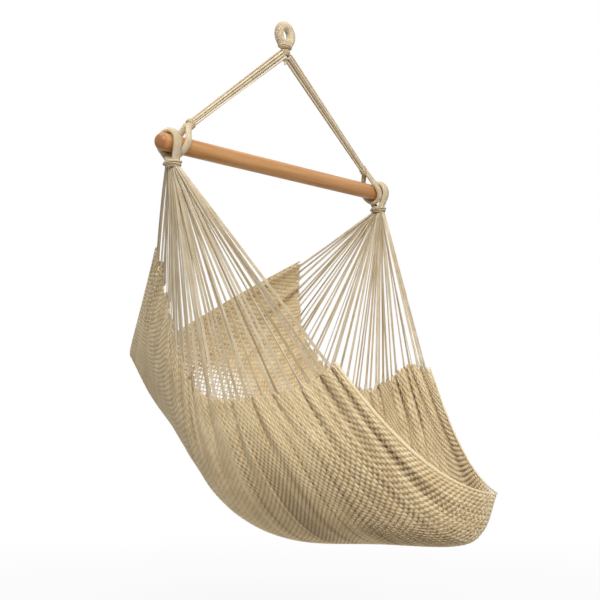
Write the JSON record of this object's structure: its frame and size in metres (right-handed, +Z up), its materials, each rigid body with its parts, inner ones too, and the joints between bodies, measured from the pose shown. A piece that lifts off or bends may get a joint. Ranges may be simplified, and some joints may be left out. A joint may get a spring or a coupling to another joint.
{
  "type": "hammock chair",
  "caption": "Net hammock chair that hangs from one hook by a served loop, with a rope bridle, a round wooden spreader bar and a deep netted seat.",
  "frame": {"origin": "where the hook bears, at the inside top of the hanging loop", "axes": "+X along the spreader bar to the sitter's left, -Y the way the sitter faces, +Z up"},
  "size_m": [0.942, 1.2517, 1.3956],
  "materials": {
    "serving": "ecru cotton cord wound tight, matt",
    "cord": "ecru twisted cotton cord, matt",
    "netting": "ecru cotton netting of twisted cord, matt",
    "bar_wood": "sanded warm brown wood with a satin oil finish"
  },
  "bodies": {
    "loop": {"hanging_loop": "serving", "neck_whipping_upper": "serving"},
    "neck_turn": {"neck_whipping_lower": "serving"},
    "neck_sway": {"cord_neck": "cord"},
    "bridle": {"bridle_rope_left": "cord", "bridle_rope_right": "cord", "bridle_seizing_left": "serving", "bridle_seizing_right": "serving", "bridle_eye_left": "serving", "bridle_eye_right": "serving"},
    "spreader": {"spreader_bar": "bar_wood"},
    "seat": {"hammock_eye_left": "serving", "hammock_eye_right": "serving", "eye_whipping_left": "serving", "eye_whipping_right": "serving", "clew_bunch_left_1": "cord", "clew_bunch_left_2": "cord", "clew_bunch_left_3": "cord", "clew_bunch_left_4": "cord", "clew_bunch_left_5": "cord", "clew_bunch_left_6": "cord", "clew_bunch_left_7": "cord", "clew_bunch_left_8": "cord", "clew_bunch_right_1": "cord", "clew_bunch_right_2": "cord", "clew_bunch_right_3": "cord", "clew_bunch_right_4": "cord", "clew_bunch_right_5": "cord", "clew_bunch_right_6": "cord", "clew_bunch_right_7": "cord", "clew_bunch_right_8": "cord", "net": "netting", "front_selvage": "cord", "back_selvage": "cord"}
  },
  "joints": [
    {"name": "turn_under_hook", "type": "hinge", "parent": "loop", "child": "neck_turn", "pos_m": [0, 0, -0.06], "axis": [0, 0, 1], "range_deg": [-90, 90]},
    {"name": "side_sway", "type": "hinge", "parent": "neck_turn", "child": "neck_sway", "pos_m": [0, 0, -0.06], "axis": [0, 1, 0], "range_deg": [-12, 12]},
    {"name": "swing", "type": "hinge", "parent": "neck_sway", "child": "bridle", "pos_m": [0, 0, -0.06], "axis": [1, 0, 0], "range_deg": [-25, 25]},
    {"name": "bar_roll", "type": "hinge", "parent": "bridle", "child": "spreader", "pos_m": [0, 0, -0.3825], "axis": [1, 0, 0], "continuous": true},
    {"name": "seat_tip", "type": "hinge", "parent": "bridle", "child": "seat", "pos_m": [0, 0, -0.3825], "axis": [1, 0, 0], "range_deg": [-15, 20]}
  ]
}
